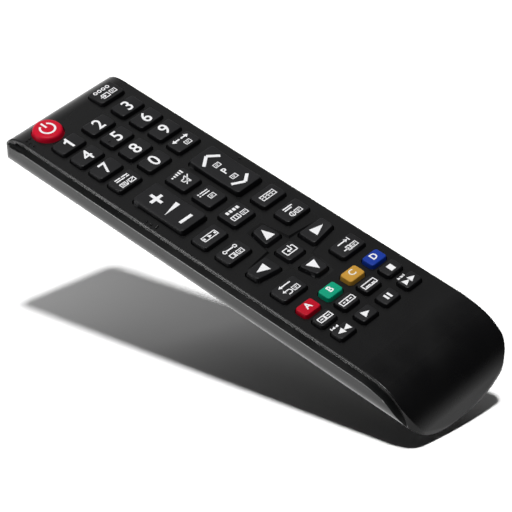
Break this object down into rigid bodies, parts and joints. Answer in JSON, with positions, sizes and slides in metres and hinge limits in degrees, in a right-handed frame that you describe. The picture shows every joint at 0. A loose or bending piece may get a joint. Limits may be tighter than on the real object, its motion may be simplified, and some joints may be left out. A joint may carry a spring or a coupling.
{
  "type": "television remote control",
  "caption": "Slim television remote control with sprung rubber keys, tilting rocker keys, a dished navigation cross, a hinged battery cover over its cells, and a circuit board.",
  "frame": {"origin": "centre of the underside of the bounding box, with the handset lying on its back", "axes": "+Y towards the emitter end, +X to the right seen from above, +Z out of the keys"},
  "size_m": [0.0472, 0.1824, 0.0228],
  "materials": {
    "face_plastic": "fine satin texture",
    "shell_plastic": "satin",
    "key_rubber": "smooth matt",
    "key_power_red": "smooth matt",
    "key_red": "smooth matt",
    "key_green": "smooth matt",
    "key_amber": "smooth matt",
    "key_blue": "smooth matt",
    "mat_rubber": "matt",
    "board_laminate": "satin",
    "chip_epoxy": "matt",
    "capacitor_sleeve": "gloss",
    "resonator_ceramic": "matt",
    "resistor_coat": "gloss",
    "emitter_epoxy": "clear gloss",
    "window_plastic": "polished",
    "cell_jacket": "gloss wrap",
    "contact_steel": "bright nickel plate"
  },
  "bodies": {
    "handset": {"front_cover": "face_plastic", "rear_cover": "shell_plastic", "keypad_mat": "mat_rubber", "circuit_board": "board_laminate", "controller_chip": "chip_epoxy", "capacitor": "capacitor_sleeve", "resonator": "resonator_ceramic", "transistor": "chip_epoxy", "resistors": "resistor_coat", "ir_led": "emitter_epoxy", "ir_window": "window_plastic", "cell_left": "cell_jacket", "cell_right": "cell_jacket", "positive_contact": "contact_steel", "negative_spring": "contact_steel", "bridge_contact": "contact_steel"},
    "battery_door": {"battery_cover": "shell_plastic"},
    "key_power": {"key_power": "key_power_red"},
    "key_source": {"key_source": "key_rubber"},
    "key_1": {"key_1": "key_rubber"},
    "key_2": {"key_2": "key_rubber"},
    "key_3": {"key_3": "key_rubber"},
    "key_4": {"key_4": "key_rubber"},
    "key_5": {"key_5": "key_rubber"},
    "key_6": {"key_6": "key_rubber"},
    "key_7": {"key_7": "key_rubber"},
    "key_8": {"key_8": "key_rubber"},
    "key_9": {"key_9": "key_rubber"},
    "key_text": {"key_text": "key_rubber"},
    "key_0": {"key_0": "key_rubber"},
    "key_previous": {"key_previous": "key_rubber"},
    "key_mute": {"key_mute": "key_rubber"},
    "key_list": {"key_list": "key_rubber"},
    "key_media": {"key_media": "key_rubber"},
    "key_menu": {"key_menu": "key_rubber"},
    "key_guide": {"key_guide": "key_rubber"},
    "key_tools": {"key_tools": "key_rubber"},
    "key_info": {"key_info": "key_rubber"},
    "key_up": {"key_up": "key_rubber"},
    "key_left": {"key_left": "key_rubber"},
    "key_enter": {"key_enter": "key_rubber"},
    "key_right": {"key_right": "key_rubber"},
    "key_down": {"key_down": "key_rubber"},
    "key_return": {"key_return": "key_rubber"},
    "key_exit": {"key_exit": "key_rubber"},
    "key_red": {"key_red": "key_red"},
    "key_green": {"key_green": "key_green"},
    "key_yellow": {"key_yellow": "key_amber"},
    "key_blue": {"key_blue": "key_blue"},
    "key_manual": {"key_manual": "key_rubber"},
    "key_picture_size": {"key_picture_size": "key_rubber"},
    "key_subtitle": {"key_subtitle": "key_rubber"},
    "key_stop": {"key_stop": "key_rubber"},
    "key_rewind": {"key_rewind": "key_rubber"},
    "key_play": {"key_play": "key_rubber"},
    "key_pause": {"key_pause": "key_rubber"},
    "key_forward": {"key_forward": "key_rubber"},
    "key_volume": {"key_volume": "key_rubber"},
    "key_channel": {"key_channel": "key_rubber"}
  },
  "joints": [
    {"name": "key_power_press", "type": "slide", "parent": "handset", "child": "key_power", "axis": [0, 0, -1], "range_m": [0, 0.00075], "stiffness_N_per_m": 1200, "springref_m": -0.0003},
    {"name": "key_source_press", "type": "slide", "parent": "handset", "child": "key_source", "axis": [0, 0, -1], "range_m": [0, 0.00075], "stiffness_N_per_m": 1200, "springref_m": -0.0003},
    {"name": "key_1_press", "type": "slide", "parent": "handset", "child": "key_1", "axis": [0, 0, -1], "range_m": [0, 0.00075], "stiffness_N_per_m": 1200, "springref_m": -0.0003},
    {"name": "key_2_press", "type": "slide", "parent": "handset", "child": "key_2", "axis": [0, 0, -1], "range_m": [0, 0.00075], "stiffness_N_per_m": 1200, "springref_m": -0.0003},
    {"name": "key_3_press", "type": "slide", "parent": "handset", "child": "key_3", "axis": [0, 0, -1], "range_m": [0, 0.00075], "stiffness_N_per_m": 1200, "springref_m": -0.0003},
    {"name": "key_4_press", "type": "slide", "parent": "handset", "child": "key_4", "axis": [0, 0, -1], "range_m": [0, 0.00075], "stiffness_N_per_m": 1200, "springref_m": -0.0003},
    {"name": "key_5_press", "type": "slide", "parent": "handset", "child": "key_5", "axis": [0, 0, -1], "range_m": [0, 0.00075], "stiffness_N_per_m": 1200, "springref_m": -0.0003},
    {"name": "key_6_press", "type": "slide", "parent": "handset", "child": "key_6", "axis": [0, 0, -1], "range_m": [0, 0.00075], "stiffness_N_per_m": 1200, "springref_m": -0.0003},
    {"name": "key_7_press", "type": "slide", "parent": "handset", "child": "key_7", "axis": [0, 0, -1], "range_m": [0, 0.00075], "stiffness_N_per_m": 1200, "springref_m": -0.0003},
    {"name": "key_8_press", "type": "slide", "parent": "handset", "child": "key_8", "axis": [0, 0, -1], "range_m": [0, 0.00075], "stiffness_N_per_m": 1200, "springref_m": -0.0003},
    {"name": "key_9_press", "type": "slide", "parent": "handset", "child": "key_9", "axis": [0, 0, -1], "range_m": [0, 0.00075], "stiffness_N_per_m": 1200, "springref_m": -0.0003},
    {"name": "key_text_press", "type": "slide", "parent": "handset", "child": "key_text", "axis": [0, 0, -1], "range_m": [0, 0.00075], "stiffness_N_per_m": 1200, "springref_m": -0.0003},
    {"name": "key_0_press", "type": "slide", "parent": "handset", "child": "key_0", "axis": [0, 0, -1], "range_m": [0, 0.00075], "stiffness_N_per_m": 1200, "springref_m": -0.0003},
    {"name": "key_previous_press", "type": "slide", "parent": "handset", "child": "key_previous", "axis": [0, 0, -1], "range_m": [0, 0.00075], "stiffness_N_per_m": 1200, "springref_m": -0.0003},
    {"name": "key_mute_press", "type": "slide", "parent": "handset", "child": "key_mute", "axis": [0, 0, -1], "range_m": [0, 0.00075], "stiffness_N_per_m": 1200, "springref_m": -0.0003},
    {"name": "key_list_press", "type": "slide", "parent": "handset", "child": "key_list", "axis": [0, 0, -1], "range_m": [0, 0.00075], "stiffness_N_per_m": 1200, "springref_m": -0.0003},
    {"name": "key_media_press", "type": "slide", "parent": "handset", "child": "key_media", "axis": [0, 0, -1], "range_m": [0, 0.00075], "stiffness_N_per_m": 1200, "springref_m": -0.0003},
    {"name": "key_menu_press", "type": "slide", "parent": "handset", "child": "key_menu", "axis": [0, 0, -1], "range_m": [0, 0.00075], "stiffness_N_per_m": 1200, "springref_m": -0.0003},
    {"name": "key_guide_press", "type": "slide", "parent": "handset", "child": "key_guide", "axis": [0, 0, -1], "range_m": [0, 0.00075], "stiffness_N_per_m": 1200, "springref_m": -0.0003},
    {"name": "key_tools_press", "type": "slide", "parent": "handset", "child": "key_tools", "axis": [0, 0, -1], "range_m": [0, 0.00075], "stiffness_N_per_m": 1200, "springref_m": -0.0003},
    {"name": "key_info_press", "type": "slide", "parent": "handset", "child": "key_info", "axis": [0, 0, -1], "range_m": [0, 0.00075], "stiffness_N_per_m": 1200, "springref_m": -0.0003},
    {"name": "key_up_press", "type": "slide", "parent": "handset", "child": "key_up", "axis": [0, 0, -1], "range_m": [0, 0.00075], "stiffness_N_per_m": 1200, "springref_m": -0.0003},
    {"name": "key_left_press", "type": "slide", "parent": "handset", "child": "key_left", "axis": [0, 0, -1], "range_m": [0, 0.00075], "stiffness_N_per_m": 1200, "springref_m": -0.0003},
    {"name": "key_enter_press", "type": "slide", "parent": "handset", "child": "key_enter", "axis": [0, 0, -1], "range_m": [0, 0.00075], "stiffness_N_per_m": 1200, "springref_m": -0.0003},
    {"name": "key_right_press", "type": "slide", "parent": "handset", "child": "key_right", "axis": [0, 0, -1], "range_m": [0, 0.00075], "stiffness_N_per_m": 1200, "springref_m": -0.0003},
    {"name": "key_down_press", "type": "slide", "parent": "handset", "child": "key_down", "axis": [0, 0, -1], "range_m": [0, 0.00075], "stiffness_N_per_m": 1200, "springref_m": -0.0003},
    {"name": "key_return_press", "type": "slide", "parent": "handset", "child": "key_return", "axis": [0, 0, -1], "range_m": [0, 0.00075], "stiffness_N_per_m": 1200, "springref_m": -0.0003},
    {"name": "key_exit_press", "type": "slide", "parent": "handset", "child": "key_exit", "axis": [0, 0, -1], "range_m": [0, 0.00075], "stiffness_N_per_m": 1200, "springref_m": -0.0003},
    {"name": "key_red_press", "type": "slide", "parent": "handset", "child": "key_red", "axis": [0, 0, -1], "range_m": [0, 0.00075], "stiffness_N_per_m": 1200, "springref_m": -0.0003},
    {"name": "key_green_press", "type": "slide", "parent": "handset", "child": "key_green", "axis": [0, 0, -1], "range_m": [0, 0.00075], "stiffness_N_per_m": 1200, "springref_m": -0.0003},
    {"name": "key_yellow_press", "type": "slide", "parent": "handset", "child": "key_yellow", "axis": [0, 0, -1], "range_m": [0, 0.00075], "stiffness_N_per_m": 1200, "springref_m": -0.0003},
    {"name": "key_blue_press", "type": "slide", "parent": "handset", "child": "key_blue", "axis": [0, 0, -1], "range_m": [0, 0.00075], "stiffness_N_per_m": 1200, "springref_m": -0.0003},
    {"name": "key_manual_press", "type": "slide", "parent": "handset", "child": "key_manual", "axis": [0, 0, -1], "range_m": [0, 0.00075], "stiffness_N_per_m": 1200, "springref_m": -0.0003},
    {"name": "key_picture_size_press", "type": "slide", "parent": "handset", "child": "key_picture_size", "axis": [0, 0, -1], "range_m": [0, 0.00075], "stiffness_N_per_m": 1200, "springref_m": -0.0003},
    {"name": "key_subtitle_press", "type": "slide", "parent": "handset", "child": "key_subtitle", "axis": [0, 0, -1], "range_m": [0, 0.00075], "stiffness_N_per_m": 1200, "springref_m": -0.0003},
    {"name": "key_stop_press", "type": "slide", "parent": "handset", "child": "key_stop", "axis": [0, 0, -1], "range_m": [0, 0.00075], "stiffness_N_per_m": 1200, "springref_m": -0.0003},
    {"name": "key_rewind_press", "type": "slide", "parent": "handset", "child": "key_rewind", "axis": [0, 0, -1], "range_m": [0, 0.00075], "stiffness_N_per_m": 1200, "springref_m": -0.0003},
    {"name": "key_play_press", "type": "slide", "parent": "handset", "child": "key_play", "axis": [0, 0, -1], "range_m": [0, 0.00075], "stiffness_N_per_m": 1200, "springref_m": -0.0003},
    {"name": "key_pause_press", "type": "slide", "parent": "handset", "child": "key_pause", "axis": [0, 0, -1], "range_m": [0, 0.00075], "stiffness_N_per_m": 1200, "springref_m": -0.0003},
    {"name": "key_forward_press", "type": "slide", "parent": "handset", "child": "key_forward", "axis": [0, 0, -1], "range_m": [0, 0.00075], "stiffness_N_per_m": 1200, "springref_m": -0.0003},
    {"name": "key_volume_tilt", "type": "hinge", "parent": "handset", "child": "key_volume", "pos_m": [-0.0128, 0.02245, 0.01805], "axis": [1, 0, 0], "range_deg": [-3.5, 3.5], "stiffness_Nm_per_rad": 0.2},
    {"name": "key_channel_tilt", "type": "hinge", "parent": "handset", "child": "key_channel", "pos_m": [0.0128, 0.02245, 0.01805], "axis": [1, 0, 0], "range_deg": [-3.5, 3.5], "stiffness_Nm_per_rad": 0.2},
    {"name": "battery_cover_swing", "type": "hinge", "parent": "handset", "child": "battery_door", "pos_m": [0, -0.05005, 0], "axis": [-1, 0, 0], "range_deg": [0, 65]}
  ]
}
